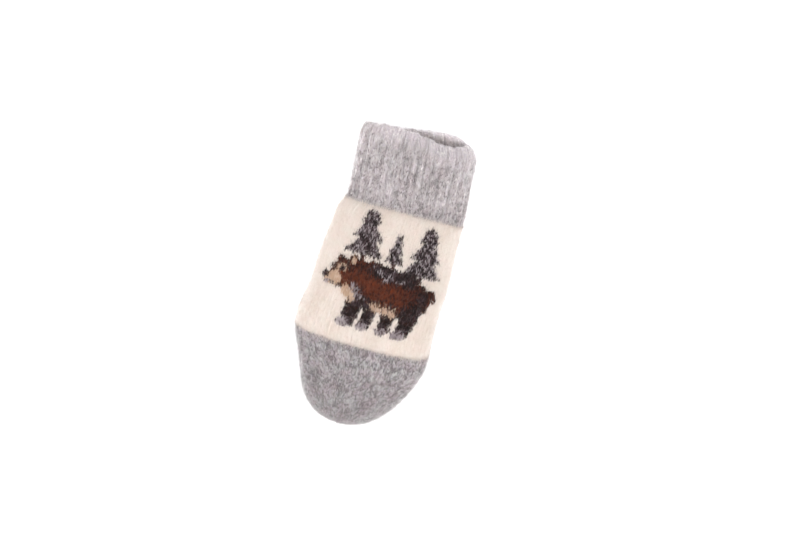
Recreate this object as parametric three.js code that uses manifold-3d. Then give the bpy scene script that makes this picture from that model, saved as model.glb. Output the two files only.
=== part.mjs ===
// A child's knitted wool mitten, lying palm down with its thumb folded under the palm.
// Grey ribbed cuff, cream hand, grey fingertips and grey thumb, all hollow, open at the wrist.
// Millimetres. X runs across the hand and the thumb lies on the +X side, +Y runs from the
// fingertips to the wrist, and Z is up from the surface that the mitten lies on.

import * as THREE from "three";
import { mergeVertices } from "three/addons/utils/BufferGeometryUtils.js";
import Module from "manifold-3d";

const wasm = await Module();
wasm.setup();

// Driving dimensions
const KNIT = 3.0; // thickness of the brushed knit of the hand and fingertips
const THUMB_KNIT = 2.8;
const RIB_KNIT = 3.3; // thickness of the ribbed cuff, from the crests of its ribs
const RIBS = 60; // ribs round the cuff
const RIB_DEPTH = 0.8;
const SEAM_GAP = 0.36; // left between pieces that are knitted onto each other
const END_FOLD = 1.2; // the hollow of a closed end stops this many walls short of the end
const FLATTENED = 1.0; // how far the underside is pressed flat where it lies on the surface
const FULLNESS = { upper: 2.5, lower: 3.6 }; // exponents of a section: 2 is round, more is boxier
const WIDEST = 0.4; // height of a section's widest place, as a share of its thickness

const CUFF_END = 43; // row where the grey cuff turns into the cream hand
const TIP_START = -40; // row where the cream hand turns into the grey fingertips

// The body's sections, from the mouth of the cuff to the fingertips: place of the section, its
// left and right side, its thickness, and how far its upper half leans to the fingertips.
const BODY = [
  { y: 91, left: -33.5, right: 37.6, thick: 15.2, lean: 0.0 },
  { y: 84, left: -34.0, right: 40.0, thick: 15.8, lean: 0.4 },
  { y: 66, left: -32.9, right: 41.0, thick: 15.8, lean: 0.9 },
  { y: 48, left: -31.4, right: 41.7, thick: 15.2, lean: 1.4 },
  { y: 43, left: -32.0, right: 41.9, thick: 15.4, lean: 1.6 },
  { y: 36, left: -35.4, right: 42.4, thick: 16.8, lean: 2.0 },
  { y: 24, left: -37.0, right: 42.6, thick: 17.8, lean: 2.5 },
  { y: 12, left: -37.9, right: 42.6, thick: 18.2, lean: 3.0 },
  { y: -12, left: -39.8, right: 42.3, thick: 18.3, lean: 4.2 },
  { y: -27, left: -42.3, right: 42.0, thick: 18.2, lean: 5.2 },
  { y: -40, left: -41.8, right: 42.0, thick: 18.0, lean: 5.8 },
  { y: -49, left: -39.0, right: 41.8, thick: 17.8, lean: 5.5 },
  { y: -57, left: -35.9, right: 39.9, thick: 17.5, lean: 4.8 },
  { y: -66, left: -32.7, right: 36.1, thick: 16.8, lean: 3.8 },
  { y: -75, left: -29.0, right: 30.7, thick: 15.6, lean: 2.7 },
  { y: -82, left: -24.7, right: 24.9, thick: 14.0, lean: 1.8 },
  { y: -87, left: -20.3, right: 19.4, thick: 12.2, lean: 1.1 },
  { y: -91, left: -14.8, right: 13.4, thick: 9.8, lean: 0.6 },
  { y: -93.4, left: -8.4, right: 6.8, thick: 7.2, lean: 0.3 },
];
const BODY_END = -94.2; // the very end of the fingertips

// Edge of the cuff's mouth: how far its upper and lower lip stand from the first section.
const MOUTH = [
  { x: -34, upper: -0.4, lower: -0.4 },
  { x: -20, upper: 0.6, lower: 0.4 },
  { x: -6, upper: 1.6, lower: 2.0 },
  { x: 2, upper: 1.0, lower: 3.2 },
  { x: 12, upper: -2.2, lower: 3.0 },
  { x: 21, upper: -4.2, lower: 2.8 },
  { x: 29, upper: -3.0, lower: 1.6 },
  { x: 38, upper: -1.4, lower: -1.4 },
];

// The thumb's sections, from inside the palm to its end, in the same columns.
const THUMB = [
  { y: 18, left: 14.6, right: 38.6, thick: 10.4 },
  { y: 8, left: 13.8, right: 40.2, thick: 10.6 },
  { y: -6, left: 12.9, right: 41.1, thick: 10.8 },
  { y: -20, left: 12.6, right: 41.3, thick: 10.8 },
  { y: -32, left: 13.3, right: 41.2, thick: 10.6 },
  { y: -41, left: 15.0, right: 40.2, thick: 10.2 },
  { y: -47, left: 17.6, right: 38.2, thick: 9.4 },
  { y: -51, left: 20.8, right: 35.4, thick: 8.2 },
  { y: -53.4, left: 24.4, right: 32.0, thick: 6.4 },
];
const THUMB_END = -54.4;

// Rows where each piece gets a section of points, besides its ends
const ROWS = {
  cuff: [91, 84, 75, 66, 54],
  hand: [39, 35, 27, 16, 8, 5.5, 3, 0.5, -2, -5, -12, -21, -31],
  fingertips: [-45, -50, -54, -58, -62, -67, -72, -77, -82, -86, -89, -91.6, -93.4],
  thumb: [18, 8, 2, -4, -12, -22, -32, -40, -46, -50.5, -53.4],
  thumbHole: [8.5, 4, -3, -12],
};
const THUMB_HOLE_END = -16;

// The palm climbs onto the thumb: where the climb is done and how long it takes, on each side.
const PALM_LIFT = { height: 11.5, x: 12.5, side: 12, root: 0, rootRun: 9, end: -55, endRun: 15 };
// The back of the hand follows more softly, and less high.
const BACK_LIFT = { height: 7.6, x: 24, side: 38, root: -14, rootRun: 42, end: -40, endRun: 42 };
const THUMB_SLIT = 7; // row where the thumb's knit leaves the palm

// A column of a table at any place: a smooth cubic through the rows round it.
function column(table, name, place, key = "y") {
  const rising = table[1][key] > table[0][key];
  let i = table.findIndex((row) => (rising ? row[key] > place : row[key] < place));
  if (i === 0) return table[0][name];
  if (i < 0) return table[table.length - 1][name];
  const [a, b] = [table[i - 1], table[i]];
  const before = table[Math.max(i - 2, 0)];
  const after = table[Math.min(i + 1, table.length - 1)];
  const slope = (p, q) => (q[name] - p[name]) / (q[key] - p[key] || 1);
  const span = b[key] - a[key];
  const t = (place - a[key]) / span;
  const slopeA = slope(before, b) * span;
  const slopeB = slope(a, after) * span;
  const [t2, t3] = [t * t, t * t * t];
  return (
    (2 * t3 - 3 * t2 + 1) * a[name] +
    (t3 - 2 * t2 + t) * slopeA +
    (3 * t2 - 2 * t3) * b[name] +
    (t3 - t2) * slopeB
  );
}

// How far the thumb underneath lifts the knit at x, y.
function lift({ height, x: edge, side, root, rootRun, end, endRun }, x, y) {
  const { smoothstep } = THREE.MathUtils;
  const across = smoothstep(x, edge - side, edge);
  const along = 1 - smoothstep(y, root, root + rootRun);
  const past = smoothstep(y, end - endRun, end);
  return height * across * along * past;
}

// Height of a section at w, as a share of its thickness.
const height = (w) => WIDEST * (1 + w) + (1 - 2 * WIDEST) * Math.max(w, 0);

// Directions round a row of a table, evenly spaced along its section. u runs across from -1 to 1,
// and w from -1 at the underside to 1 at the top.
function directions(count, { left, right, thick }) {
  const fine = 1440;
  const halfWidth = (right - left) / 2;
  const power = (value, exponent) => Math.sign(value) * Math.abs(value) ** (2 / exponent);
  const at = (i) => {
    const turn = (2 * Math.PI * i) / fine;
    const exponent = i < fine / 2 ? FULLNESS.upper : FULLNESS.lower;
    return { u: power(Math.cos(turn), exponent), w: power(Math.sin(turn), exponent) };
  };
  const lengths = [0];
  for (let i = 1; i <= fine; i++) {
    const [p, q] = [at(i - 1), at(i)];
    const step = Math.hypot((q.u - p.u) * halfWidth, (height(q.w) - height(p.w)) * thick);
    lengths.push(lengths[i - 1] + step);
  }
  const found = [];
  for (let k = 0, i = 0; k < count; k++) {
    while (lengths[i] < (k / count) * lengths[fine]) i++;
    found.push(at(i));
  }
  return found;
}

// A point of the section of a table at y, inset below its outer face.
function sectionPoint(table, y, { u, w }, inset) {
  const left = column(table, "left", y) + inset;
  const right = column(table, "right", y) - inset;
  const thick = column(table, "thick", y) - 2 * inset + FLATTENED;
  const x = (left + right) / 2 + (u * (right - left)) / 2;
  return new THREE.Vector3(x, y, inset + Math.max(thick * height(w) - FLATTENED, 0));
}

const thumbPoint = (y, direction, inset) => sectionPoint(THUMB, y, direction, inset);

function bodyPoint(y, direction, inset) {
  const point = sectionPoint(BODY, y, direction, inset);
  point.y -= column(BODY, "lean", y) * direction.w;
  const up = height(direction.w);
  const lifted = [PALM_LIFT, BACK_LIFT].map((dims) => lift(dims, point.x, point.y));
  point.z += lifted[0] * (1 - up) + lifted[1] * up;
  return point;
}

// Depth of the cuff's surface between the crests of its ribs.
const rib = (k) => (k % 2 ? RIB_DEPTH : 0);

// The cuff's sections run from the wavy edge of the mouth to the even row where the hand starts.
function cuffPoint(share, direction, inset, y) {
  const edge = bodyPoint(BODY[0].y, direction, 0);
  const wave = column(MOUTH, direction.w > 0 ? "upper" : "lower", edge.x, "x");
  const point = bodyPoint(y, direction, inset);
  point.y += wave * Math.abs(direction.w) * (1 - share);
  return point;
}

// Joins rings of points into one closed surface, in the order given. Rings have equal counts, and
// a single point closes an end. With loop true, the last ring joins the first.
function skin(rings, loop) {
  const points = rings.flat();
  const starts = [];
  rings.reduce((sum, ring) => (starts.push(sum), sum + ring.length), 0);
  const faces = [];
  const pairs = loop ? rings.length : rings.length - 1;
  for (let r = 0; r < pairs; r++) {
    const s = (r + 1) % rings.length;
    const count = Math.max(rings[r].length, rings[s].length);
    for (let k = 0; k < count; k++) {
      const next = (k + 1) % count;
      const [a, b] = rings[r].length > 1 ? [starts[r] + k, starts[r] + next] : [starts[r], starts[r]];
      const [c, d] = rings[s].length > 1 ? [starts[s] + k, starts[s] + next] : [starts[s], starts[s]];
      if (a !== b) faces.push(a, b, c);
      if (c !== d) faces.push(b, d, c);
    }
  }
  const geometry = new THREE.BufferGeometry().setFromPoints(points);
  geometry.setIndex(faces);
  return geometry;
}

// A closed geometry as a solid, and a solid back as a geometry.
function solid(geometry) {
  const merged = mergeVertices(geometry, 1e-4);
  const mesh = { numProp: 3, vertProperties: merged.attributes.position.array };
  mesh.triVerts = new Uint32Array(merged.index.array);
  return new wasm.Manifold(new wasm.Mesh(mesh));
}

function geometryOf(manifold) {
  const mesh = manifold.getMesh();
  const geometry = new THREE.BufferGeometry();
  geometry.setAttribute("position", new THREE.BufferAttribute(mesh.vertProperties, 3));
  geometry.setIndex(new THREE.BufferAttribute(mesh.triVerts, 1));
  geometry.computeVertexNormals();
  return geometry;
}

const ring = (place, around, y, inset) => around.map((direction) => place(y, direction, inset));

// An open-ended knitted tube: down its outer face through these rows, and back up its inner face.
function tube(place, around, rows, wall) {
  const outer = rows.map((y) => ring(place, around, y, 0));
  const inner = rows.map((y) => ring(place, around, y, wall)).reverse();
  return skin([...outer, ...inner], true);
}

// A tube whose last row closes on a point. With no wall, it is filled.
function fingerstall(place, around, rows, end, wall) {
  const last = rows[rows.length - 1];
  const middle = (depth) => {
    const face = ring(place, around, last, depth);
    const centre = face.reduce((sum, point) => sum.add(point), new THREE.Vector3());
    centre.divideScalar(face.length);
    return [centre.setY(end + depth)];
  };
  const outer = [...rows.map((y) => ring(place, around, y, 0)), middle(0)];
  if (!wall) {
    const first = outer[0].reduce((sum, point) => sum.add(point), new THREE.Vector3());
    return skin([[first.divideScalar(outer[0].length)], ...outer], false);
  }
  const inner = rows
    .filter((y) => y - end > wall * END_FOLD)
    .map((y) => ring(place, around, y, wall))
    .reverse();
  return skin([...outer, middle(wall), ...inner], true);
}

// Directions round a middle row of the cuff, the hand and the thumb
const aroundCuff = directions(2 * RIBS, BODY[2]);
const aroundHand = directions(64, BODY[8]);
const aroundThumb = directions(32, THUMB[2]);

const material = (color) => new THREE.MeshStandardMaterial({ color, roughness: 0.95, metalness: 0 });
const wool = {
  cuff: material("#beb5b7"),
  cream: material("#f3e6dc"),
  grey: material("#9f9799"),
};

function cuff() {
  const rows = [...ROWS.cuff, CUFF_END + SEAM_GAP / 2];
  const share = (y) => (BODY[0].y - y) / (BODY[0].y - CUFF_END);
  const face = (y, wall) =>
    aroundCuff.map((direction, k) => cuffPoint(share(y), direction, wall + rib(k), y));
  const outer = rows.map((y) => face(y, 0));
  const inner = rows.map((y) => face(y, RIB_KNIT - RIB_DEPTH)).reverse();
  return skin([...outer, ...inner], true);
}

const handRows = [CUFF_END - SEAM_GAP / 2, ...ROWS.hand, TIP_START + SEAM_GAP / 2];
const tipRows = [TIP_START - SEAM_GAP / 2, ...ROWS.fingertips];

// The palm has a hole where the thumb's hollow runs into the hand.
function hand() {
  const shell = solid(tube(bodyPoint, aroundHand, handRows, KNIT));
  const hollow = (y, direction) => thumbPoint(y, direction, THUMB_KNIT);
  const hole = solid(fingerstall(hollow, aroundThumb, ROWS.thumbHole, THUMB_HOLE_END));
  return geometryOf(shell.subtract(hole));
}

// The thumb stops just short of the palm, all round that hole, and straight at the slit.
function thumb() {
  const stall = solid(fingerstall(thumbPoint, aroundThumb, ROWS.thumb, THUMB_END, THUMB_KNIT));
  const beside = (y, direction) => bodyPoint(y, direction, -SEAM_GAP);
  const body = solid(fingerstall(beside, aroundHand, [...handRows, ...ROWS.fingertips], BODY_END));
  return geometryOf(stall.subtract(body).trimByPlane([0, -1, 0], -THUMB_SLIT));
}

const mitten = new THREE.Group();
for (const [name, geometry, look] of [
  ["ribbed_cuff", cuff(), wool.cuff],
  ["hand", hand(), wool.cream],
  ["fingertips", fingerstall(bodyPoint, aroundHand, tipRows, BODY_END, KNIT), wool.grey],
  ["thumb", thumb(), wool.grey],
]) {
  const mesh = new THREE.Mesh(geometry, look);
  mesh.name = name;
  mitten.add(mesh);
}

export default mitten;
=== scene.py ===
import math

import bpy
import numpy as np
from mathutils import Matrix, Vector


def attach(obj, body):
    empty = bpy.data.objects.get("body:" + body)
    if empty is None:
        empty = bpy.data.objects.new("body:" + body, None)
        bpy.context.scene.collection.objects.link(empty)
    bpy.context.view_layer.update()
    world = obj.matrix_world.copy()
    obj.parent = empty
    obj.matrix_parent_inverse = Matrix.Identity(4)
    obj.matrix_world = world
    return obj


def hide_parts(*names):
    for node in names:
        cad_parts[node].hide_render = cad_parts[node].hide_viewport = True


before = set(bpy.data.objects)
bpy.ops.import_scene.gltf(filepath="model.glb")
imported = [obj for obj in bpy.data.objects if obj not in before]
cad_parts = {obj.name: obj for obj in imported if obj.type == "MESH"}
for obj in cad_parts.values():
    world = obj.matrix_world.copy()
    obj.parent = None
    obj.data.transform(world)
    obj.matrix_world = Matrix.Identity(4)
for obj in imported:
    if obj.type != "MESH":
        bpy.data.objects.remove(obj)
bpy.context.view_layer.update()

millimetre = 0.001

# The mitten's sections from the mouth of the cuff to the fingertips, as the solids have them
bodyTable = {
    "y": [91, 84, 66, 48, 43, 36, 24, 12, -12, -27, -40, -49, -57, -66, -75, -82, -87, -91, -93.4],
    "left": [-33.5, -34, -32.9, -31.4, -32, -35.4, -37, -37.9, -39.8, -42.3, -41.8, -39, -35.9,
             -32.7, -29, -24.7, -20.3, -14.8, -8.4],
    "right": [37.6, 40, 41, 41.7, 41.9, 42.4, 42.6, 42.6, 42.3, 42, 42, 41.8, 39.9, 36.1, 30.7,
              24.9, 19.4, 13.4, 6.8],
    "thick": [15.2, 15.8, 15.8, 15.2, 15.4, 16.8, 17.8, 18.2, 18.3, 18.2, 18, 17.8, 17.5, 16.8,
              15.6, 14, 12.2, 9.8, 7.2],
    "lean": [0, 0.4, 0.9, 1.4, 1.6, 2, 2.5, 3, 4.2, 5.2, 5.8, 5.5, 4.8, 3.8, 2.7, 1.8, 1.1, 0.6,
             0.3],
}
# How far the two lips of the mouth stand from the first section, how far the upper one sags and how far
# the lower one curls up
mouthTable = {
    "x": [-34, -30, -24, -16, -6, 2, 12, 21, 29, 34, 38],
    "upper": [-0.9, -1.2, -0.5, -0.3, -0.2, -0.8, -2.3, -3.6, -2.7, -1.4, -0.6],
    "lower": [-0.9, -1.4, -0.8, 0.4, 1.8, 2.8, 3.6, 4.4, 4.0, 2.3, -0.6],
    "sag": [0, 0.2, 0.6, 1.0, 1.6, 2.6, 4.0, 4.4, 3.2, 1.6, 0],
    "curl": [0, 0.1, 0.4, 0.8, 1.4, 3.4, 6.6, 7.6, 5.0, 2.4, 0],
}
# From which y to which the edge ripples, the upper lip sags, the lower one curls and the corners draw
# in, how far they draw in, and how much farther the lips go past the edge of the mouth
mouth = {
    "ripples": (82, 93), "sags": (66, 93), "curls": (84, 94), "drawsIn": (86, 92),
    "corner": 1.1, "past": 1.1,
}
ripples = [{"reach": 0.3, "length": 1.7, "turn": 2}, {"reach": 0.2, "length": 0.9, "turn": 1}]
thumbTable = {
    "y": [18, 8, -6, -20, -32, -41, -47, -51, -53.4],
    "left": [14.6, 13.8, 12.9, 12.6, 13.3, 15, 17.6, 20.8, 24.4],
    "right": [38.6, 40.2, 41.1, 41.3, 41.2, 40.2, 38.2, 35.4, 32],
    "thick": [10.4, 10.6, 10.8, 10.8, 10.6, 10.0, 8.9, 7.2, 5.0],
}
# How the palm and the back of the hand rise over the thumb: full past x and between root and end
palmLift = {"height": 11.5, "x": 12.5, "side": 12, "root": -9, "rootRun": 19, "end": -46, "endRun": 24}
backLift = {"height": 7.6, "x": 24, "side": 38, "root": -14, "rootRun": 42, "end": -40, "endRun": 42}
# A section is rounder above than below, widest at a share of its height and pressed flat underneath. A
# round end closes towards its middle height, and the sides waver a little along the hand.
section = {
    "upper": 2.5, "lower": 3.6, "widest": 0.4, "flattened": 1.0, "middle": 0.42,
    "waver": 0.35, "waverRun": 7.3,
}
places = {
    "mouth": 91,
    "cuffEnd": 43,
    "tipStart": -40,
    "tipEnd": -94.2,
    "thumbRoot": 7,
    "thumbEnd": -54.4,
}
wall = {"hand": 3.0, "thumb": 2.8, "cuff": 2.5}
# Neither the knit nor the fibres come nearer to the table than this
clearance = {"knit": 0.05, "fibre": 0.03}

# Soft hollows (minus) and swells of the upper side, as it lies: middle, reach and height
swells = [
    {"x": -14, "y": 71, "across": 4.5, "along": 11, "height": -1.5},
    {"x": -4, "y": 68, "across": 3.2, "along": 14, "height": 0.5},
    {"x": 7, "y": 64, "across": 3.0, "along": 12, "height": -0.5},
    {"x": 15, "y": 72, "across": 3.4, "along": 12, "height": 0.5},
    {"x": 25, "y": 58, "across": 5, "along": 8, "height": -1.5},
    {"x": 5, "y": 50, "across": 6, "along": 6, "height": -1.0},
    {"x": 33, "y": 74, "across": 3.0, "along": 10, "height": -0.6},
    {"x": -26, "y": 66, "across": 3.6, "along": 14, "height": -0.5},
    {"x": -20, "y": 44, "across": 14, "along": 3.5, "height": -0.7},
    {"x": 18, "y": 45, "across": 16, "along": 3.5, "height": -0.6},
    {"x": -18, "y": 22, "across": 12, "along": 12, "height": 0.6},
    {"x": 16, "y": 14, "across": 7, "along": 16, "height": -0.6},
    {"x": -22, "y": -14, "across": 9, "along": 13, "height": -0.6},
    {"x": 4, "y": -20, "across": 10, "along": 12, "height": 0.5},
    {"x": -8, "y": -58, "across": 16, "along": 9, "height": 0.7},
    {"x": 12, "y": -70, "across": 9, "along": 9, "height": -0.6},
]
# And the slow unevenness that wool always has
waves = [
    {"across": 6.1, "along": 15, "start": 0.4, "height": 0.22},
    {"across": 9.3, "along": -8.2, "start": 2.1, "height": 0.2},
]

# The knit: a wale is a column of stitches, a course is a row of them. Each wale has four columns of
# points and each course has two rows.
knit = {"wales": 120, "thumbWales": 44, "course": 1.22, "slant": 1.15}
# Heights of the columns and rows as shares of the relief, how far each column lags as a share of the
# slant, how much stitches differ, and what is left of them where an end has closed
stitch = {
    "wale": [-0.3, 0.2, -0.02, 0.2],
    "course": [-0.11, 0.11],
    "bulge": [0.2, 1, 0.5, 1],
    "lag": [1, 0.5, 0, 0.5],
    "uneven": 0.06,
    "lumps": 0.09,
    "closedEnd": 0.3,
}


# A column of a table at any place, on a smooth cubic through its rows
def along(table, name, place, key="y"):
    knots, values = np.array(table[key], float), np.array(table[name], float)
    if knots[0] > knots[-1]:
        knots, values = knots[::-1], values[::-1]
    slopes = np.empty_like(values)
    slopes[1:-1] = (values[2:] - values[:-2]) / (knots[2:] - knots[:-2])
    slopes[[0, -1]] = (values[[1, -1]] - values[[0, -2]]) / (knots[[1, -1]] - knots[[0, -2]])
    place = np.clip(place, knots[0], knots[-1])
    i = np.clip(np.searchsorted(knots, place, side="right") - 1, 0, len(knots) - 2)
    span = knots[i + 1] - knots[i]
    t = (place - knots[i]) / span
    return (
        (2 * t**3 - 3 * t**2 + 1) * values[i]
        + (t**3 - 2 * t**2 + t) * span * slopes[i]
        + (3 * t**2 - 2 * t**3) * values[i + 1]
        + (t**3 - t**2) * span * slopes[i + 1]
    )


def smoothstep(x, low, high):
    t = np.clip((x - low) / (high - low), 0, 1)
    return t * t * (3 - 2 * t)


# How far the palm or the back of the hand rises at a place
def lift(dims, x, y):
    across = smoothstep(x, dims["x"] - dims["side"], dims["x"])
    root = 1 - smoothstep(y, dims["root"], dims["root"] + dims["rootRun"])
    end = smoothstep(y, dims["end"] - dims["endRun"], dims["end"])
    return dims["height"] * across * root * end


# Rise and fall of the upper side
def unevenness(x, y):
    z = 0
    for wave in waves:
        z = z + wave["height"] * np.sin(x / wave["across"] + y / wave["along"] + wave["start"])
    for s in swells:
        away = ((x - s["x"]) / s["across"]) ** 2 + ((y - s["y"]) / s["along"]) ** 2
        z = z + s["height"] * np.exp(-away)
    return z


# Height on a section, as a share: 0 where w is -1, underneath, and 1 where it is 1, on top
def heightShare(w):
    return section["widest"] * (1 + w) + (1 - 2 * section["widest"]) * np.maximum(w, 0)


# Directions round a section, evenly spaced along it: u across, w from underside to top
def directions(count, width, thick):
    turn = np.linspace(0, 2 * np.pi, 40001)
    power = np.where(turn < np.pi, 2 / section["upper"], 2 / section["lower"])
    u = np.sign(np.cos(turn)) * np.abs(np.cos(turn)) ** power
    w = np.sign(np.sin(turn)) * np.abs(np.sin(turn)) ** power
    step = np.hypot(np.diff(u) * width / 2, np.diff(heightShare(w)) * thick)
    length = np.concatenate([[0], np.cumsum(step)])
    wanted = np.arange(count) / count * length[-1]
    return np.interp(wanted, length, u), np.interp(wanted, length, w)


# A point of a section, inset below the outer face. Past the table's last row the section closes.
def sectionPoint(table, y, u, w, inset, end):
    last = table["y"][-1]
    closing = np.sqrt(np.clip(1 - (np.maximum(last - y, 0) / (last - end)) ** 2, 0, 1))
    left, right = along(table, "left", y) + inset, along(table, "right", y) - inset
    thick = along(table, "thick", y) - 2 * inset + section["flattened"]
    x = (left + right) / 2 + u * (right - left) / 2 * closing
    z = inset + np.maximum(thick * heightShare(w) - section["flattened"], 0)
    middle = inset + thick * section["middle"]
    return x, middle + (z - middle) * closing


def bodyPoint(y, u, w, inset):
    x, z = sectionPoint(bodyTable, y, u, w, inset, places["tipEnd"])
    x = x + section["waver"] * np.sin(y / section["waverRun"] + 1) * u
    y = y - along(bodyTable, "lean", y) * w
    up = heightShare(w)
    z = z + lift(palmLift, x, y) * (1 - up) + (lift(backLift, x, y) + unevenness(x, y)) * up
    return np.stack([x, y, z], -1)


def thumbPoint(y, u, w, inset):
    x, z = sectionPoint(thumbTable, y, u, w, inset, places["thumbEnd"])
    return np.stack([x, y + 0 * x, z], -1)


# The cuff runs from the even row where the hand starts to the wavy edge of the mouth
def cuffPoint(y, u, w, inset):
    edge = bodyPoint(np.full_like(y, places["mouth"]), u, w, np.zeros_like(y))[..., 0]
    upper, lower = along(mouthTable, "upper", edge, "x"), along(mouthTable, "lower", edge, "x")
    point = bodyPoint(y, u, w, inset)
    share = np.clip((y - places["cuffEnd"]) / (places["mouth"] - places["cuffEnd"]), 0, mouth["past"])
    point[..., 1] += ((upper + lower) / 2 + (upper - lower) / 2 * w) * share
    ripple = sum(r["reach"] * np.sin(edge / r["length"] + r["turn"] * w) for r in ripples)
    point[..., 1] += ripple * smoothstep(y, *mouth["ripples"])
    point[..., 0] -= mouth["corner"] * u * smoothstep(y, *mouth["drawsIn"])
    sag = smoothstep(y, *mouth["sags"]) * along(mouthTable, "sag", edge, "x")
    curl = smoothstep(y, *mouth["curls"]) * along(mouthTable, "curl", edge, "x")
    point[..., 2] += np.where(w > 0, -sag, curl) * np.abs(w)
    return point


# Lowest and highest z of a tube over a place on the table, inset below its outer face
def tubeSpan(table, x, y, inset):
    left, right = along(table, "left", y) + inset, along(table, "right", y) - inset
    u = np.clip(np.abs((x - (left + right) / 2) / ((right - left) / 2)), 0, 1)
    thick = along(table, "thick", y) + section["flattened"]
    low, high = (
        np.maximum(thick * heightShare(side * (1 - u**power) ** (1 / power)) - section["flattened"], 0)
        for side, power in ((-1, section["lower"]), (1, section["upper"]))
    )
    return low + inset, high - inset, u < 1


# What lies well inside the other tube is cut away, so that the thumb opens into the hand
cut = {"inset": 1.0, "pastRoot": 1, "fromEnd": 6}


def insideThumb(p):
    low, high, over = tubeSpan(thumbTable, p[:, 0], p[:, 1], cut["inset"])
    root, end = places["thumbRoot"] + cut["pastRoot"], places["thumbEnd"] + cut["fromEnd"]
    return over & (p[:, 1] < root) & (p[:, 1] > end) & (p[:, 2] > low) & (p[:, 2] < high)


def insideHand(p):
    low, high, over = tubeSpan(bodyTable, p[:, 0], p[:, 1], cut["inset"])
    low = low + lift(palmLift, p[:, 0], p[:, 1])
    return over & (p[:, 2] > low) & (p[:, 2] < high)


# Normals of a grid of points that goes all the way round
def gridNormals(points):
    acrossStep = np.roll(points, -1, 1) - np.roll(points, 1, 1)
    normal = np.cross(np.gradient(points, axis=0), acrossStep)
    return normal / np.maximum(np.linalg.norm(normal, axis=-1, keepdims=True), 1e-9)


# Slow, smooth rise and fall over such a grid: turns round it, and courses that a wave runs along it
def softWaves(rows, columns, turns, run, rng):
    r, c = np.arange(rows)[:, None] / 2, np.arange(columns)[None] * 2 * np.pi / columns
    total, count = np.zeros((rows, columns)), 14
    for _ in range(count):
        total += np.sin(rng.integers(*turns) * c + rng.normal(0, 1) / run * r + rng.uniform(0, 6.3))
    return total / math.sqrt(count / 2)


# Height of the stitches on their grid, with some stitches fuller than others and slow lumps
def stitchRelief(rows, columns, depth, rng):
    column, row = np.arange(columns) % 4, np.arange(rows) % 2
    profile = np.array(stitch["wale"])[column]
    bulge = np.outer(np.array(stitch["course"])[row], np.array(stitch["bulge"])[column])
    uneven = rng.normal(0, stitch["uneven"], (rows // 2 + 1, columns // 4))
    lumps = stitch["lumps"] * softWaves(rows, columns, (columns // 15, columns // 5), 1.5, rng)
    return depth * (profile + bulge) + np.kron(uneven, np.ones((2, 4)))[:rows] + lumps


# How far each column of a wale lags behind, which makes the rows of stitches zigzag
def stitchSlant(columns):
    return knit["slant"] * np.array(stitch["lag"])[np.arange(columns) % 4]


# A piece from points in millimetres: faces, places on the texture, and a number for each face
def toMesh(name, points, faces, uv, attributes, look):
    flat = np.concatenate([f.ravel() for f in faces])
    sizes = np.concatenate([np.full(len(f), f.shape[1]) for f in faces])
    mesh = bpy.data.meshes.new(name)
    mesh.vertices.add(len(points))
    mesh.vertices.foreach_set("co", (points * millimetre).astype(np.float32).ravel())
    mesh.loops.add(len(flat))
    mesh.loops.foreach_set("vertex_index", flat.astype(np.int32))
    mesh.polygons.add(len(sizes))
    mesh.polygons.foreach_set("loop_start", (np.cumsum(sizes) - sizes).astype(np.int32))
    mesh.polygons.foreach_set("use_smooth", np.ones(len(sizes), bool))
    mesh.uv_layers.new(name="OFBake").data.foreach_set("uv", uv.astype(np.float32).ravel())
    for attribute, values in attributes.items():
        layer = mesh.attributes.new(attribute, "FLOAT", "FACE")
        layer.data.foreach_set("value", values.astype(np.float32))
    mesh.materials.append(look)
    mesh.update(calc_edges=True)
    piece = bpy.data.objects.new(name, mesh)
    bpy.context.scene.collection.objects.link(piece)
    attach(piece, "root")
    return piece


# Quads between the rows of a grid that goes all the way round, and where each lies on the texture
def gridFaces(rows, columns, low, high, start=0):
    r, c = (a.ravel() for a in np.meshgrid(np.arange(rows - 1), np.arange(columns), indexing="ij"))
    n = (c + 1) % columns
    near, far = r * columns, (r + 1) * columns
    quads = start + np.stack([near + c, far + c, far + n, near + n], 1)
    u0, u1 = c / columns, (c + 1) / columns
    v0, v1 = (low + (high - low) * (r + k) / (rows - 1) for k in (0, 1))
    uv = np.stack([u0, v0, u0, v1, u1, v1, u1, v0], 1).reshape(-1, 4, 2)
    return quads, uv


# Colours as they look under these lights; the wool itself is darker by the lights' gain
lightGain = 1.38


def wool(color):
    c = np.array(color) / 255
    seen = np.where(c <= 0.04045, c / 12.92, ((c + 0.055) / 1.055) ** 2.4)
    return tuple(seen / lightGain) + (1.0,)


# Yarn colours of each piece, as stops along a palette from 0 to 1
palettes = {
    "cuffWool": [(0.0, (122, 114, 117)), (0.16, (158, 149, 151)), (0.34, (190, 180, 181)),
                 (0.5, (210, 201, 200)), (0.66, (206, 196, 205)), (0.84, (240, 233, 230)),
                 (1.0, (255, 250, 247))],
    "greyWool": [(0.0, (100, 92, 97)), (0.16, (130, 121, 125)), (0.34, (160, 150, 152)),
                 (0.5, (182, 174, 171)), (0.66, (180, 171, 183)), (0.84, (224, 217, 214)),
                 (1.0, (246, 241, 238))],
    "handWool": [(0.0, (255, 244, 236)), (0.14, (241, 225, 213)), (0.18, (222, 192, 168)),
                 (0.28, (194, 156, 128)), (0.32, (116, 54, 28)), (0.42, (86, 38, 20)),
                 (0.46, (70, 30, 18)), (0.58, (42, 17, 12)), (0.62, (34, 18, 18)),
                 (0.70, (18, 10, 11)), (0.74, (90, 72, 77)), (0.84, (60, 44, 48)),
                 (0.88, (140, 127, 133)), (1.0, (196, 183, 184))],
}


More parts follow.
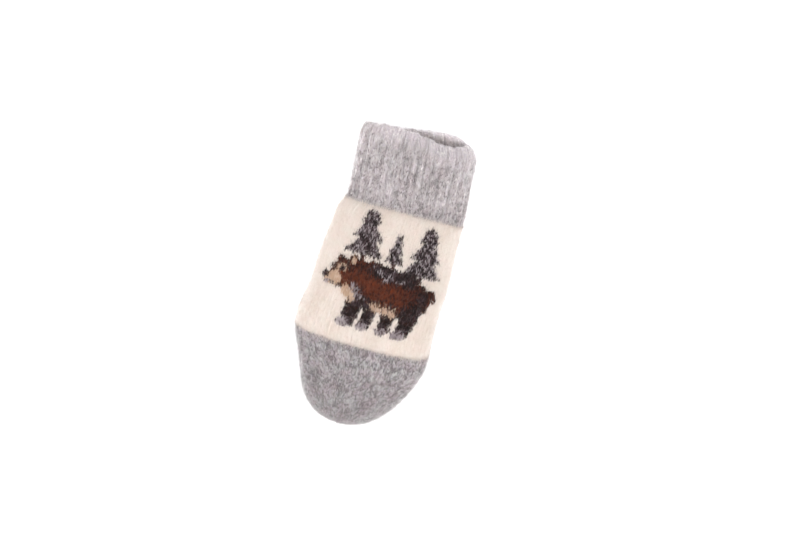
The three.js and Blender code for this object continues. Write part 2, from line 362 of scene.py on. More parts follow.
def paletteRamp(nodes, stops):
    ramp = nodes.new("ShaderNodeValToRGB")
    ramp.color_ramp.elements.remove(ramp.color_ramp.elements[-1])
    for i, (position, color) in enumerate(stops):
        element = ramp.color_ramp.elements[0] if i == 0 else ramp.color_ramp.elements.new(position)
        element.position = position
        element.color = wool(color)
    return ramp


def makeNode(nodes, kind, inputs, **settings):
    node = nodes.new(kind)
    for name, value in settings.items():
        setattr(node, name, value)
    for name, value in inputs.items():
        node.inputs[name].default_value = value
    return node


def woolShader(name, sheen):
    material = bpy.data.materials.new(name)
    material.use_nodes = True
    shader = material.node_tree.nodes["Principled BSDF"]
    shader.inputs["Roughness"].default_value = 0.95
    shader.inputs["Specular IOR Level"].default_value = 0.12
    shader.inputs["Sheen Weight"].default_value = sheen
    shader.inputs["Sheen Roughness"].default_value = 0.55
    return material, material.node_tree.nodes, material.node_tree.links, shader


def multiplied(nodes, links, color, other):
    product = makeNode(nodes, "ShaderNodeMix", {"Factor": 1}, data_type="RGBA", blend_type="MULTIPLY")
    links.new(color, product.inputs["A"])
    links.new(other, product.inputs["B"])
    return product.outputs["Result"]


# A slow drift of hue between rosy and greenish, as grey and cream wool have
def drifted(nodes, links, color, drift):
    where = nodes.new("ShaderNodeTexCoord")
    slow = makeNode(nodes, "ShaderNodeTexNoise", {"Scale": 170, "Detail": 1})
    links.new(where.outputs["Object"], slow.inputs["Vector"])
    reach = makeNode(nodes, "ShaderNodeMapRange", {"From Min": 0.35, "From Max": 0.65})
    links.new(slow.outputs["Fac"], reach.inputs["Value"])
    rosy = (1, 1 - drift, 1 - 0.6 * drift, 1)
    greenish = (1 - drift, 1, 1 - 0.4 * drift, 1)
    hue = makeNode(nodes, "ShaderNodeMix", {"A": rosy, "B": greenish}, data_type="RGBA")
    links.new(reach.outputs["Result"], hue.inputs["Factor"])
    return multiplied(nodes, links, color, hue.outputs["Result"])


# The knit itself: each leg of a stitch has its own shade, varied by finer fibres, with painted shade
# darkening the dips between stitches
def knitLook(name, dims):
    material, nodes, links, shader = woolShader(name, dims["sheen"])
    shader.inputs["Subsurface Weight"].default_value = 0.8  # light from the table comes through wool
    shader.inputs["Subsurface Radius"].default_value = (1.0, 0.95, 0.9)
    shader.inputs["Subsurface Scale"].default_value = 0.006
    where = nodes.new("ShaderNodeTexCoord")
    stretch = makeNode(nodes, "ShaderNodeMapping", {"Scale": (1, 0.4, 1)})
    links.new(where.outputs["Object"], stretch.inputs["Vector"])
    fine = makeNode(nodes, "ShaderNodeTexNoise", {"Scale": 2400, "Detail": 3})
    links.new(stretch.outputs["Vector"], fine.inputs["Vector"])
    spread = {"From Min": 0.3, "From Max": 0.7, "To Min": -dims["spread"], "To Max": dims["spread"]}
    vary = makeNode(nodes, "ShaderNodeMapRange", spread)
    links.new(fine.outputs["Fac"], vary.inputs["Value"])
    yarn = makeNode(nodes, "ShaderNodeAttribute", {}, attribute_name="yarn")
    shade = nodes.new("ShaderNodeMath")
    links.new(vary.outputs["Result"], shade.inputs[0])
    links.new(yarn.outputs["Fac"], shade.inputs[1])
    ramp = paletteRamp(nodes, palettes[name])
    links.new(shade.outputs[0], ramp.inputs["Fac"])
    # Painted shade: the colour darkens towards the dips between stitches, by each face's depth
    depth = makeNode(nodes, "ShaderNodeAttribute", {}, attribute_name="depth")
    hollow = makeNode(nodes, "ShaderNodeMapRange", {"To Min": dims["dip"]})
    links.new(depth.outputs["Fac"], hollow.inputs["Value"])
    shaded = multiplied(nodes, links, ramp.outputs["Color"], hollow.outputs["Result"])
    links.new(drifted(nodes, links, shaded, dims["drift"]), shader.inputs["Base Color"])
    bump = makeNode(nodes, "ShaderNodeBump", {"Strength": 0.5, "Distance": 0.0003})
    links.new(fine.outputs["Fac"], bump.inputs["Height"])
    links.new(bump.outputs["Normal"], shader.inputs["Normal"])
    return material


# The nap: the palette runs along u, and a fibre pales from root to tip along v, partly as painted
# light, the glow of light through thin fibres
def napLook(name, dims):
    material, nodes, links, shader = woolShader(name + "Nap", dims["napSheen"])
    uv = makeNode(nodes, "ShaderNodeUVMap", {}, uv_map="OFBake")
    split = nodes.new("ShaderNodeSeparateXYZ")
    links.new(uv.outputs["UV"], split.inputs["Vector"])
    ramp = paletteRamp(nodes, palettes[name])
    links.new(split.outputs["X"], ramp.inputs["Fac"])
    fade = makeNode(nodes, "ShaderNodeMapRange", {"To Max": dims["paler"]})
    links.new(split.outputs["Y"], fade.inputs["Value"])
    pale = makeNode(nodes, "ShaderNodeMix", {"B": wool((250, 244, 240))}, data_type="RGBA")
    links.new(fade.outputs["Result"], pale.inputs["Factor"])
    links.new(ramp.outputs["Color"], pale.inputs["A"])
    links.new(drifted(nodes, links, pale.outputs["Result"], dims["drift"]), shader.inputs["Base Color"])
    return material


# spread: how much the fibres of a stitch differ; dip: brightness that the painted shade leaves in the
# hollows between stitches; drift: how far the hue wanders; paler: how far a brushed fibre pales towards
# its tip, partly painted light
woolDims = {
    "cuffWool": {
        "spread": 0.16, "dip": 0.8, "drift": 0.02, "sheen": 0.4, "paler": 0.75, "napSheen": 0.3,
    },
    "greyWool": {
        "spread": 0.16, "dip": 0.75, "drift": 0.045, "sheen": 0.3, "paler": 0.75, "napSheen": 0.25,
    },
    "handWool": {
        "spread": 0.018, "dip": 0.88, "drift": 0.015, "sheen": 0.05, "paler": 0.14, "napSheen": 0.04,
    },
}
looks = {name: knitLook(name, dims) for name, dims in woolDims.items()}
naps = {name: napLook(name, dims) for name, dims in woolDims.items()}
knitted = {}

# Where the yarns of the figure lie on the hand's palette. Marl picks one of several at each leg.
yarns = {
    "cream": [(0.02, 0.12)],
    "tan": [(0.19, 0.27), (0.19, 0.27), (0.16, 0.20)],
    "chestnut": [(0.33, 0.41), (0.33, 0.41), (0.38, 0.42), (0.47, 0.52)],
    "brown": [(0.47, 0.57), (0.47, 0.57), (0.40, 0.43), (0.63, 0.67)],
    "dark": [(0.63, 0.69), (0.63, 0.69), (0.53, 0.58), (0.78, 0.84)],
    "charcoal": [(0.63, 0.69), (0.75, 0.83), (0.63, 0.69), (0.90, 0.98)],
    "slate": [(0.75, 0.83), (0.90, 0.98), (0.90, 0.98)],
}

# A bear of plain rounded strokes: yarn, then x, y and radius at each end, in mm on the hand
bear = {
    "body": ("brown", 16, -6.0, 12.5, -6, -5.0, 12.0),
    "rump": ("brown", 21, -7.5, 11.6, 20, -9.5, 10.8),
    "hump": ("brown", -9, -2.0, 11.6, -4, 0.0, 10.4),
    "neck": ("brown", -12, -2.0, 10.2, -19, -1.5, 8.6),
    "head": ("brown", -21, -1.2, 8.8, -24.5, -2.0, 7.8),
    "hindLeg": ("dark", 22.5, -16, 6.2, 21.0, -26.0, 4.6),
    "farHindLeg": ("dark", 10.0, -17, 4.8, 9.0, -26.4, 3.9),
    "foreLeg": ("dark", -12.0, -15, 5.8, -14.0, -26.0, 4.6),
    "farForeLeg": ("dark", -1.5, -17, 4.6, -3.0, -26.4, 3.8),
    "saddle": ("dark", -5, 5.2, 4.0, 19, 3.2, 4.0),
    "saddleMarl": ("charcoal", -2, 4.0, 2.6, 14, 2.2, 2.4),
    "haunch": ("dark", 28.0, -5.0, 3.6, 26.5, -13, 3.2),
    "flank": ("chestnut", -4, -5.6, 5.4, 15, -7.4, 5.8),
    "neckSide": ("chestnut", -11, -2.6, 4.8, -17.5, -1.4, 4.2),
    "cheek": ("chestnut", -21, -3.6, 3.8, -25.0, -4.4, 3.4),
    "chest": ("tan", -20.0, -10.2, 2.8, -15.6, -13.2, 2.6),
    "chestMarl": ("slate", -15.8, -8.6, 2.2, -11.6, -12.4, 2.2),
    "belly": ("tan", -1, -16.4, 2.0, 12, -17.0, 2.0),
    "tail": ("brown", 32.0, -2.0, 2.8, 33.6, -4.6, 2.4),
}
face = {
    "snout": ("tan", -28.6, -5.4, 4.4, -32.0, -6.4, 3.5),
    "nose": ("dark", -34.2, -4.6, 2.1, -34.6, -5.2, 1.9),
    "mouth": ("charcoal", -33.6, -8.6, 0.8, -28.6, -8.4, 0.8),
    "farEar": ("brown", -26.6, 6.0, 2.6, -26.8, 6.8, 2.4),
    "ear": ("brown", -19.0, 7.4, 3.2, -19.0, 8.1, 3.0),
    "earInside": ("tan", -19.0, 7.2, 1.7, -19.0, 8.0, 1.5),
    "eyeRing": ("tan", -25.8, 1.3, 2.3, -24.4, 1.5, 2.3),
    "eye": ("dark", -25.6, 1.2, 1.6, -24.6, 1.3, 1.6),
    "hindPaw": ("slate", 20.0, -28.4, 2.8, 15.8, -28.8, 2.2),
    "farHindPaw": ("slate", 8.4, -28.6, 2.4, 5.4, -28.9, 2.0),
    "forePaw": ("slate", -15.0, -28.4, 2.8, -19.2, -28.8, 2.2),
    "farForePaw": ("slate", -3.6, -28.6, 2.4, -6.4, -28.9, 2.0),
}
# Each fir has tiers, each narrower than the one below, over a trunk that is a share of its height
firs = [
    {"x": -14.5, "foot": 6.5, "height": 33, "width": 26},
    {"x": 5.0, "foot": 8.0, "height": 21, "width": 13},
    {"x": 23.5, "foot": 1.0, "height": 36, "width": 25},
]
fir = {"trunk": 0.16, "trunkHalf": 1.3, "tiers": 3.4, "narrower": 0.27, "taper": 0.62}
# The figure's place, how ragged and how mixed its yarns are, how upright the knit is where it ends, and
# how much of a yarn's shade changes at every leg and how much slowly
figure = {
    "x": 2.2, "y": 1.0, "ragged": 0.42, "mixed": 1.2, "upright": 0.15,
    "leg": 0.7, "least": 0.15, "slow": 0.15,
}


def drawStrokes(yarn, strokes, x, y):
    for name, x0, y0, r0, x1, y1, r1 in strokes.values():
        dx, dy = x1 - x0, y1 - y0
        t = np.clip(((x - x0) * dx + (y - y0) * dy) / (dx * dx + dy * dy), 0, 1)
        yarn[np.hypot(x - x0 - t * dx, y - y0 - t * dy) < r0 + (r1 - r0) * t] = name


def drawFirs(yarn, x, y):
    for tree in firs:
        up = (y - tree["foot"]) / tree["height"]
        away = np.abs(x - tree["x"])
        level = np.clip(up - fir["trunk"], 0, 1) * fir["tiers"]
        narrower = (1 - fir["narrower"] * np.floor(level)) * (1 - fir["taper"] * np.mod(level, 1))
        yarn[(away < tree["width"] / 2 * narrower) & (up > fir["trunk"]) & (up < 1)] = "charcoal"
        yarn[(away < fir["trunkHalf"]) & (up > 0) & (up <= fir["trunk"])] = "brown"


# Which yarn each leg of a stitch takes: ragged at the outline, and inside it one runs into the next
def figureYarns(x, y, rng):
    x, y = x - figure["x"], y - figure["y"]
    raggedX, raggedY = rng.normal(0, figure["ragged"], (2, *x.shape))
    mixedX, mixedY = rng.normal(0, figure["mixed"], (2, *x.shape))
    yarn, mixed = np.full((2, *x.shape), "cream", dtype="<U8")
    drawFirs(yarn, x + raggedX, y + raggedY)
    drawStrokes(yarn, bear, x + raggedX, y + raggedY)
    drawStrokes(mixed, bear, x + mixedX, y + mixedY)
    yarn = np.where((yarn != "cream") & (mixed != "cream"), mixed, yarn)
    drawStrokes(yarn, face, x + raggedX / 2, y + raggedY / 2)
    return yarn


# A shade for each leg of each stitch, from the yarns that the stitches are knitted in
def figureShades(outer, y, rng):
    normals = gridNormals(outer)
    x, up = outer[1::2, 1::2, 0], normals[1::2, 1::2, 2]
    names = figureYarns(x, np.repeat(y[1::2, None], x.shape[1], 1), rng)
    names[up < figure["upright"]] = "cream"
    slow = softWaves(2 * len(names), names.shape[1], (2, 14), 7, rng)[::2]
    shades = np.zeros(names.shape)
    for name, parts in yarns.items():
        part = np.array(parts)[rng.integers(0, len(parts), names.shape)]
        share = rng.random(names.shape) * figure["leg"] + figure["least"] + figure["slow"] * slow
        share = np.clip(share, 0, 1)
        shades = np.where(names == name, part[..., 0] + share * (part[..., 1] - part[..., 0]), shades)
    return shades


# How much of a marled shade changes at every leg, at every stitch and at every patch of stitches
marl = {"leg": 0.52, "stitch": 0.3, "patch": 0.18, "low": 0.08, "high": 0.8}


# Shades of marled yarn for the legs of the stitches, paler on the swells and darker in the hollows:
# partly brushing and partly painted light and shade
def marlShades(outer, dims, rng):
    x, y = outer[::2, 1::2, 0], outer[::2, 1::2, 1]
    courses, legs = x.shape
    shade = marl["leg"] * rng.random((courses, legs))
    shade += marl["stitch"] * np.repeat(rng.random((courses, legs // 2)), 2, 1)
    blocks = rng.random((courses // 3 + 2, legs // 4 + 2))
    shade += marl["patch"] * np.kron(blocks, np.ones((3, 4)))[:courses, :legs]
    slow = dims["slow"] * softWaves(courses * 2, legs, (2, 12), 6, rng)[::2]
    # Painted light and shade, with brushing: swells paler, hollows darker
    slow += dims["brushed"] * unevenness(x, y)
    share = np.clip((shade - 0.5) * dims["contrast"] + 0.5 + slow, 0, 1)
    return marl["low"] + (marl["high"] - marl["low"]) * share


# The shade of the leg that each face belongs to
def perFace(shades, rows, columns):
    course = np.minimum(np.arange(rows - 1) // 2, shades.shape[0] - 1)
    return shades[course][:, (np.arange(columns) // 2) % shades.shape[1]]


# How high each face lies, from the dips at 0 to the crests at 1, which sets the painted shade of the
# dips
def faceDepth(relief):
    height = (relief[:-1] + relief[1:]) / 2
    height = (height + np.roll(height, -1, 1)) / 2
    return np.clip((height - height.min()) / (height.max() - height.min()), 0, 1)


# Rows half a course apart along a tube's length, from one y to another
def evenRows(place, around, first, last):
    y = np.linspace(first, last, 600)
    u, w = around
    length = 0
    for k in (np.argmax(w), 0, np.argmin(u)):
        path = place(y, np.full_like(y, u[k]), np.full_like(y, w[k]), np.zeros_like(y))
        step = np.linalg.norm(np.diff(path, axis=0), axis=1)
        length = length + np.concatenate([[0], np.cumsum(step)]) / 3
    count = max(int(round(length[-1] / knit["course"])), 2)
    return np.interp(np.linspace(0, length[-1], count * 2 + 1), length, y)


# The points of a tube whose rows are at y, inset and raised along the normals by the relief
def surface(place, around, y, inset, relief, slant):
    u, w = around
    rowY = y[:, None] - slant * np.ones((len(y), len(u)))
    u, w = np.broadcast_to(u, rowY.shape), np.broadcast_to(w, rowY.shape)
    points = place(rowY, u, w, inset * np.ones(rowY.shape))
    points = points + gridNormals(points) * np.asarray(relief)[..., None]
    points[..., 2] = np.maximum(points[..., 2], clearance["knit"])
    return points


# The plain inner face of a tube, with a quarter of the columns
def lining(place, around, first, last, rows, inset):
    sparse = (around[0][::4], around[1][::4])
    return surface(place, sparse, np.linspace(first, last, rows), inset, 0.0, 0.0)


# Where the outer face and the lining lie on the texture, and the depth that sets the lining's painted
# shade of the dips
texture = {"outer": (0.0, 0.84), "lining": (0.86, 1.0), "liningDepth": 0.6}


# One piece of knit: its outer face, its lining, and a hole where another tube is knitted into it
def knitPiece(dims, outer, relief, shades, inner=None, cutAway=None):
    rows, columns = outer.shape[:2]
    quads, uv = gridFaces(rows, columns, *texture["outer"])
    points = outer.reshape(-1, 3)
    yarn = perFace(shades, rows, columns).ravel()
    depth = faceDepth(relief).ravel()
    if inner is not None:
        more, moreUv = gridFaces(*inner.shape[:2], *texture["lining"], start=rows * columns)
        points = np.concatenate([points, inner.reshape(-1, 3)])
        quads = np.concatenate([quads, more[:, ::-1]])
        uv = np.concatenate([uv, moreUv[:, ::-1]])
        yarn = np.concatenate([yarn, np.full(len(more), np.median(shades))])
        depth = np.concatenate([depth, np.full(len(more), texture["liningDepth"])])
    if cutAway is not None:
        keep = ~cutAway(points[quads].mean(1))
        quads, uv, yarn, depth = quads[keep], uv[keep], yarn[keep], depth[keep]
    attributes = {"yarn": yarn, "depth": depth}
    piece = toMesh(dims["name"], points, [quads], uv.reshape(-1, 2), attributes, looks[dims["look"]])
    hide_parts(dims["node"])
    knitted[dims["name"]] = {"points": outer, "shades": shades, "dims": dims, "cutAway": cutAway}
    print("knitted", dims["name"], len(quads) * 2, "triangles")


# Columns are spaced along a section of a usual width and thickness
bodyColumns = knit["wales"] * 4
bodyAround = directions(bodyColumns, 80, 18)
thumbColumns = knit["thumbWales"] * 4
thumbAround = directions(thumbColumns, 28, 10.6)

hand = {
    "name": "handKnit", "node": "hand", "slot": "cream_wool", "look": "handWool",
    "relief": 1.0, "liningRows": 30, "seed": 11,
}


def makeHand():
    rng = np.random.default_rng(hand["seed"])
    y = evenRows(bodyPoint, bodyAround, places["tipStart"], places["cuffEnd"])
    relief = stitchRelief(len(y), bodyColumns, hand["relief"], rng)
    outer = surface(bodyPoint, bodyAround, y, 0.0, relief, stitchSlant(bodyColumns))
    rows = hand["liningRows"]
    inner = lining(bodyPoint, bodyAround, places["tipStart"], places["cuffEnd"], rows, wall["hand"])
    knitPiece(hand, outer, relief, figureShades(outer, y, rng), inner, insideThumb)


# Stitches and their slant die away where a round end closes, from where the tube is narrower than width
def closingEnd(y, table, end, columns, width):
    fade = np.clip((along(table, "right", y) - along(table, "left", y)) / width, 0, 1)
    fade[y < table["y"][-1]] *= stitch["closedEnd"]
    slant = stitchSlant(columns) * fade[:, None]
    return fade[:, None], np.minimum(slant, (y - end)[:, None])


fingertips = {
    "name": "fingertipKnit", "node": "fingertips", "slot": "grey_wool", "look": "greyWool",
    "relief": 1.0, "closing": 60, "hollowEnd": -90, "liningRows": 24,
    "contrast": 2.5, "slow": 0.08, "brushed": 0.05, "seed": 12,
}


def makeFingertips():
    rng = np.random.default_rng(fingertips["seed"])
    y = evenRows(bodyPoint, bodyAround, places["tipEnd"], places["tipStart"])
    fade, slant = closingEnd(y, bodyTable, places["tipEnd"], bodyColumns, fingertips["closing"])
    relief = stitchRelief(len(y), bodyColumns, fingertips["relief"], rng) * fade
    outer = surface(bodyPoint, bodyAround, y, 0.0, relief, slant)
    end, rows = fingertips["hollowEnd"], fingertips["liningRows"]
    inner = lining(bodyPoint, bodyAround, end, places["tipStart"], rows, wall["hand"])
    knitPiece(fingertips, outer, relief, marlShades(outer, fingertips, rng), inner)


thumb = {
    "name": "thumbKnit", "node": "thumb", "slot": "grey_wool", "look": "greyWool",
    "relief": 1.0, "closing": 24, "hollowEnd": -51, "liningRows": 24,
    "contrast": 2.5, "slow": 0.08, "brushed": 0.05, "seed": 13,
}


def makeThumb():
    rng = np.random.default_rng(thumb["seed"])
    y = evenRows(thumbPoint, thumbAround, places["thumbEnd"], places["thumbRoot"])
    fade, slant = closingEnd(y, thumbTable, places["thumbEnd"], thumbColumns, thumb["closing"])
    relief = stitchRelief(len(y), thumbColumns, thumb["relief"], rng) * fade
    outer = surface(thumbPoint, thumbAround, y, 0.0, relief, slant)
    end, rows = thumb["hollowEnd"], thumb["liningRows"]
    inner = lining(thumbPoint, thumbAround, end, places["thumbRoot"], rows, wall["thumb"])
    knitPiece(thumb, outer, relief, marlShades(outer, thumb, rng), inner, insideHand)


# Pairs are the y between which a thing comes in, but leftEdge is a pair of x
cuff = {
    "name": "cuffKnit", "node": "ribbed_cuff", "slot": "cuff_wool", "look": "cuffWool",
    "relief": 0.7, "contrast": 1.5, "slow": 0.08, "brushed": 0.11, "paler": 0.02, "seed": 14,
    "ribs": 0.42, "ribWidth": 8, "ribsStart": (43, 46), "ribPower": 0.8, "ribShade": 0.6,
    "clear": 0.45, "clearWaves": 0.4, "leastClear": 0.1,
    "folds": 0.32, "foldsStart": (43, 50), "foldsCalm": (80, 90), "foldsCalmed": 0.75,
    "wander": 0.5, "wanderStart": (43, 48), "wanderCalm": (82, 91), "wanderCalmed": 0.5,
    "bulge": 0.4, "slantEnds": (86, 91),
    "rubbedAndLit": 0.55, "rubbedAndLitStart": (76, 90), "rubbedAndLitShade": 0.85, "rubbedAndLitInside": 0.3,
    "leftEdge": (-30, -12), "rubbedAndLitLeft": 0.3, "rubbedAndLitMore": 0.8,
    "seamShade": 0.1, "seamShadeEnds": (44, 52),
}


# Moves the points of a tube round it, so that its wales wander
def shiftedAround(points, shift):
    across = np.roll(points, -1, 1) - np.roll(points, 1, 1)
    across /= np.maximum(np.linalg.norm(across, axis=-1, keepdims=True), 1e-9)
    points = points + across * shift[..., None]
    points[..., 2] = np.maximum(points[..., 2], clearance["knit"])
    return points


# The cuff goes up its outer face, over the rolled edge of the mouth and down its inner face
def makeCuff():
    rng = np.random.default_rng(cuff["seed"])
    outside = evenRows(cuffPoint, bodyAround, places["cuffEnd"], places["mouth"])
    roll = np.linspace(0, np.pi, 8)[1:-1]
    edge = places["mouth"] + cuff["bulge"] * wall["cuff"] * np.sin(roll)
    y = np.concatenate([outside, edge, outside[::-2]])
    row = y[:, None]
    flat = np.zeros_like(outside)
    inset = np.concatenate([flat, wall["cuff"] / 2 * (1 - np.cos(roll)), flat[::-2] + wall["cuff"]])

    turn = 2 * np.pi * (np.arange(bodyColumns) % cuff["ribWidth"] - 2) / cuff["ribWidth"]
    crest = (0.5 + 0.5 * np.cos(turn)) ** cuff["ribPower"]
    clear = cuff["clear"] + cuff["clearWaves"] * softWaves(len(y), bodyColumns, (4, 30), 5, rng)
    clear = np.clip(clear, cuff["leastClear"], 1)
    ribs = cuff["ribs"] * (1 - crest) * clear * smoothstep(row, *cuff["ribsStart"])
    folds = cuff["folds"] * softWaves(len(y), bodyColumns, (12, 40), 9, rng)
    folds *= smoothstep(row, *cuff["foldsStart"])
    folds *= 1 - cuff["foldsCalmed"] * smoothstep(row, *cuff["foldsCalm"])
    slant = stitchSlant(bodyColumns) * (1 - smoothstep(row, *cuff["slantEnds"]))
    relief = stitchRelief(len(y), bodyColumns, cuff["relief"], rng)
    points = surface(cuffPoint, bodyAround, y, inset[:, None] + ribs - folds, relief, slant)

    # Paler, calmer marl near the mouth, more on the outer face and more towards the middle than at the
    # left: partly rubbed wear, partly a painted highlight on the rolled rim
    outerFace = np.arange(len(y))[::2, None] <= len(outside) + 6
    rubbedAndLit = cuff["rubbedAndLit"] * smoothstep(row[::2], *cuff["rubbedAndLitStart"])
    rubbedAndLit = rubbedAndLit * np.where(outerFace, 1, cuff["rubbedAndLitInside"])
    fromLeft = smoothstep(points[::2, 1::2, 0], *cuff["leftEdge"])
    rubbedAndLit = rubbedAndLit * (cuff["rubbedAndLitLeft"] + cuff["rubbedAndLitMore"] * fromLeft)
    shades = marlShades(points, cuff, rng) + cuff["paler"]
    # Painted shade: a darker band along the foot of the cuff, where it narrows into the hand
    shades -= cuff["seamShade"] * (1 - smoothstep(row[::2], *cuff["seamShadeEnds"]))
    shades = shades * (1 - rubbedAndLit) + cuff["rubbedAndLitShade"] * rubbedAndLit

    wander = cuff["wander"] * softWaves(len(y), bodyColumns, (6, 26), 2.2, rng)
    calm = 1 - cuff["wanderCalmed"] * smoothstep(row, *cuff["wanderCalm"])
    wander *= smoothstep(row, *cuff["wanderStart"]) * calm
    # The rib grooves deepen the painted shade of the dips by ribShade
    knitPiece(cuff, shiftedAround(points, wander), relief - ribs * cuff["ribShade"], shades)


makeHand()
makeFingertips()
makeThumb()
makeCuff()


# Brushed fibres: each is a narrow strip, bent once, that grows from a stitch and keeps its colour. Most
# lie along the piece, either way, and some any way. Strays are longer and finer and stand up. A few
# reach over each seam, where the yarn changes colour. Pairs are the least and the most.
fibre = {
    "overSeam": 0.025, "otherWay": 0.35, "anyWay": 0.35, "spread": 0.9, "seamSpread": 0.5,
    "rise": (0.05, 1.2), "strayRise": (0.5, 1.4), "bent": (0, 0.9), "swing": 0.75, "tilt": 0.4,
    "lengths": (0.5, 1.35), "widths": (0.6, 1.3), "bendWidth": 0.8,
    "strayLength": 1.9, "strayWidth": 0.55, "paled": 0.3, "sunk": 0.12, "uneven": 0.006,
}


# The row and the column that each fibre grows from, evenly over the area, with fewer underneath
def fibrePlaces(points, normals, dims, rng):
    rows, columns = points.shape[:2]
    a, b = points[:-1], points[1:]
    c, d = np.roll(b, -1, 1), np.roll(a, -1, 1)
    area = np.linalg.norm(np.cross(c - a, d - b), axis=-1)
    area = area * np.where(normals[:-1, :, 2] < -0.6, dims["underside"], 1.0)
    total = np.cumsum(area.ravel())
    count = dims["fibres"]
    pick = np.minimum(np.searchsorted(total, rng.random(count) * total[-1]), len(total) - 1)
    row, column = np.divmod(pick, columns)
    atSeam = {}
    for end in dims["seams"]:
        atSeam[end] = rng.random(count) < fibre["overSeam"]
        near = rng.integers(0, 3, count)
        row = np.where(atSeam[end], near if end == "first" else rows - 2 - near, row)
    return row, column, atSeam


def fibreTurns(dims, atSeam, rng):
    shape = (dims["fibres"], 1)
    turn = rng.normal(0, fibre["spread"], shape) + np.pi * (rng.random(shape) < fibre["otherWay"])
    turn = np.where(rng.random(shape) < fibre["anyWay"], rng.uniform(0, 2 * np.pi, shape), turn)
    for end, facing in dims["seams"].items():
        seamTurn = facing + rng.normal(0, fibre["seamSpread"], shape)
        turn = np.where(atSeam[end][:, None], seamTurn, turn)
    return turn


# Five points to a fibre: two at the root, two at the bend and the tip
def fibreStrips(root, up, lie, stray, dims, rng):
    shape = stray.shape
    standing = rng.uniform(*fibre["strayRise"], shape)
    lying = np.clip(rng.gamma(2.2, 0.17, shape), *fibre["rise"])
    rise = np.where(stray, standing, lying)
    length = dims["length"] * rng.uniform(*fibre["lengths"], shape)
    length = length * np.where(stray, fibre["strayLength"], 1.0)
    swing = np.cross(up, lie) * rng.normal(0, fibre["swing"], shape)
    bend = root + length * 0.5 * (lie * np.cos(rise) + up * np.sin(rise))
    bent = rise * rng.uniform(*fibre["bent"], shape)
    tip = bend + length * 0.5 * (lie * np.cos(bent) + up * np.sin(bent) + swing)
    across = np.cross(lie, up * 0.8 + rng.normal(0, fibre["tilt"], root.shape))
    across /= np.maximum(np.linalg.norm(across, axis=1, keepdims=True), 1e-6)
    half = across * dims["width"] / 2 * rng.uniform(*fibre["widths"], shape)
    half = half * np.where(stray, fibre["strayWidth"], 1.0)
    root, less = root - up * fibre["sunk"], half * fibre["bendWidth"]
    strip = np.stack([root - half, root + half, bend + less, bend - less, tip], 1)
    strip[..., 2] = np.maximum(strip[..., 2], clearance["fibre"])
    return strip


# A fibre has the shade of the stitch that it grew from or of one near by
def fibreShades(row, column, shades, dims, rng):
    count, near = len(row), dims["mingled"]
    row = np.clip(row + rng.normal(0, near, count), 0, 2 * shades.shape[0] - 1).astype(int)
    column = (column + rng.normal(0, 1.5 * near, count)).astype(int)
    shade = shades[row // 2, (column // 2) % shades.shape[1]]
    shade = shade * (1 - dims["mixed"]) + dims["mixed"] * rng.random(count)
    return shade + rng.normal(0, fibre["uneven"], count)


# The palette lies along u, where a fibre is a sliver, and its length along v as far as it pales
def fibreMap(shade, pales):
    sliver = 0.0008
    low, high, root = shade - sliver, shade + sliver, np.zeros(len(shade))
    middle = pales / 2
    quad = np.stack([low, root, high, root, high, middle, low, middle], 1).reshape(-1, 2)
    tip = np.stack([low, middle, high, middle, shade, pales], 1).reshape(-1, 2)
    return np.clip(np.concatenate([quad, tip]), 0.001, 0.999)


def makeNap(name, dims):
    rng = np.random.default_rng(dims["seed"])
    knitPart = knitted[dims["knit"]]
    points, shades, cutAway = knitPart["points"], knitPart["shades"], knitPart["cutAway"]
    normals = gridNormals(points)
    rows, columns = points.shape[:2]
    row, column, atSeam = fibrePlaces(points, normals, dims, rng)
    after = (column + 1) % columns
    s, t = rng.random((2, len(row), 1))
    lower = points[row, column] * (1 - s) + points[row, after] * s
    upper = points[row + 1, column] * (1 - s) + points[row + 1, after] * s
    root = lower * (1 - t) + upper * t
    up = normals[row, column]
    onward = points[np.minimum(row + 2, rows - 1), column] - points[np.maximum(row - 2, 0), column]
    onward /= np.maximum(np.linalg.norm(onward, axis=1, keepdims=True), 1e-6)
    turn = fibreTurns(dims, atSeam, rng)
    lie = np.cos(turn) * onward + np.sin(turn) * np.cross(up, onward)
    stray = rng.random((len(row), 1)) < dims["strays"]
    strip = fibreStrips(root, up, lie, stray, dims, rng)
    shade = fibreShades(row, column, shades, dims, rng)
    # Strays pale all the way to their tips: painted light for the glow of the fuzzy rim
    pales = np.where(stray[:, 0], 1.0, fibre["paled"])
    if cutAway is not None:
        keep = ~cutAway(strip[:, 2])
        strip, shade, pales = strip[keep], shade[keep], pales[keep]
    base = 5 * np.arange(len(strip))[:, None]
    faces = [base + np.array([[0, 1, 2, 3]]), base + np.array([[3, 2, 4]])]
    look = naps[knitPart["dims"]["look"]]
    piece = toMesh(name, strip.reshape(-1, 3), faces, fibreMap(shade, pales), {}, look)
    print("brushed", name, len(strip), "fibres")


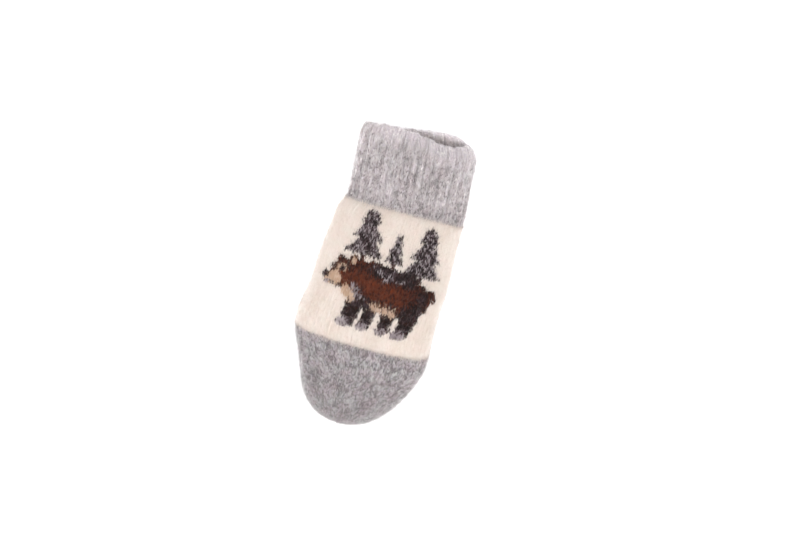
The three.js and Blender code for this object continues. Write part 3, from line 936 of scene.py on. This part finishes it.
# seams: the ends where another colour follows, and which way the fibres face there; strays: share of
# the fibres; mixed: share of its shade that is its own; mingled: rows and columns of points that its
# shade may come from; underside: share of the fibres that are left there
napDims = {
    "handNap": {
        "knit": "handKnit", "seams": {"first": np.pi, "last": 0}, "fibres": 62000, "length": 1.8,
        "width": 0.13, "strays": 0.24, "mixed": 0.0, "mingled": 1.3, "underside": 0.35, "seed": 21,
    },
    "fingertipNap": {
        "knit": "fingertipKnit", "seams": {"last": 0}, "fibres": 48000, "length": 1.7,
        "width": 0.13, "strays": 0.26, "mixed": 0.25, "mingled": 0.4, "underside": 0.35, "seed": 22,
    },
    "cuffNap": {
        "knit": "cuffKnit", "seams": {"first": np.pi}, "fibres": 54000, "length": 1.7,
        "width": 0.13, "strays": 0.26, "mixed": 0.25, "mingled": 0.4, "underside": 0.35, "seed": 23,
    },
    "thumbNap": {
        "knit": "thumbKnit", "seams": {}, "fibres": 14000, "length": 1.5,
        "width": 0.13, "strays": 0.24, "mixed": 0.25, "mingled": 0.4, "underside": 0.35, "seed": 24,
    },
}
for name, dims in napDims.items():
    makeNap(name, dims)

stage = {"half": 2.5, "color": 0.6, "lessGreen": 0.985, "glow": 0.5, "sky": 0.88}
lights = {
    "leftLight": {"place": (-1.05, -0.4, 1.05), "size": 0.8, "power": 18},
    "rightLight": {"place": (1.1, -0.2, 1.05), "size": 0.8, "power": 17.3},
    "topLight": {"place": (0.1, 0.1, 1.4), "size": 1.0, "power": 3},
}
# The camera looks down from the height, turned a little round the mitten, in degrees and metres
view = {
    "lens": 85, "sensor": 36, "turn": 15, "height": 88, "distance": 1.171,
    "aim": (0.0114, 0.0088, 0.012),
}


# A pale table that glows a little, as a studio's light table does
def makeTable():
    mesh = bpy.data.meshes.new("lightTable")
    s = stage["half"]
    mesh.from_pydata([(-s, -s, 0), (s, -s, 0), (s, s, 0), (-s, s, 0)], [], [(0, 1, 2, 3)])
    table = bpy.data.objects.new("lightTable", mesh)
    bpy.context.scene.collection.objects.link(table)
    look = bpy.data.materials.new("paleAcrylic")
    look.use_nodes = True
    shader = look.node_tree.nodes["Principled BSDF"]
    color = stage["color"]
    shader.inputs["Base Color"].default_value = (color, color * stage["lessGreen"], color, 1)
    shader.inputs["Roughness"].default_value = 0.9
    shader.inputs["Specular IOR Level"].default_value = 0.1
    shader.inputs["Emission Color"].default_value = (1, 1, 1, 1)
    shader.inputs["Emission Strength"].default_value = stage["glow"]
    mesh.materials.append(look)


def softLight(name, dims):
    light = bpy.data.lights.new(name, "AREA")
    light.size = dims["size"]
    light.energy = dims["power"]
    lamp = bpy.data.objects.new(name, light)
    lamp.location = dims["place"]
    lamp.rotation_euler = (-Vector(dims["place"])).to_track_quat("-Z", "Y").to_euler()
    bpy.context.scene.collection.objects.link(lamp)


def makeLights():
    world = bpy.data.worlds.new("studio")
    bpy.context.scene.world = world
    world.use_nodes = True
    background = world.node_tree.nodes["Background"]
    background.inputs["Color"].default_value = (1, 1, 1, 1)
    background.inputs["Strength"].default_value = stage["sky"]
    for name, dims in lights.items():
        softLight(name, dims)


def makeCamera():
    camera = bpy.data.cameras.new("photoCamera")
    camera.lens = view["lens"]
    camera.sensor_width = view["sensor"]
    holder = bpy.data.objects.new("photoCamera", camera)
    turn, height = math.radians(view["turn"]), math.radians(view["height"])
    level = math.cos(height)
    back = Vector((math.sin(turn) * level, -math.cos(turn) * level, math.sin(height)))
    holder.location = Vector(view["aim"]) + back * view["distance"]
    holder.rotation_euler = (-back).to_track_quat("-Z", "Y").to_euler()
    bpy.context.scene.collection.objects.link(holder)
    bpy.context.scene.camera = holder


makeTable()
makeLights()
makeCamera()
print("placed the table,", len(lights), "lights and the camera")
bpy.context.scene.view_settings.view_transform = "Standard"
bpy.context.view_layer.update()
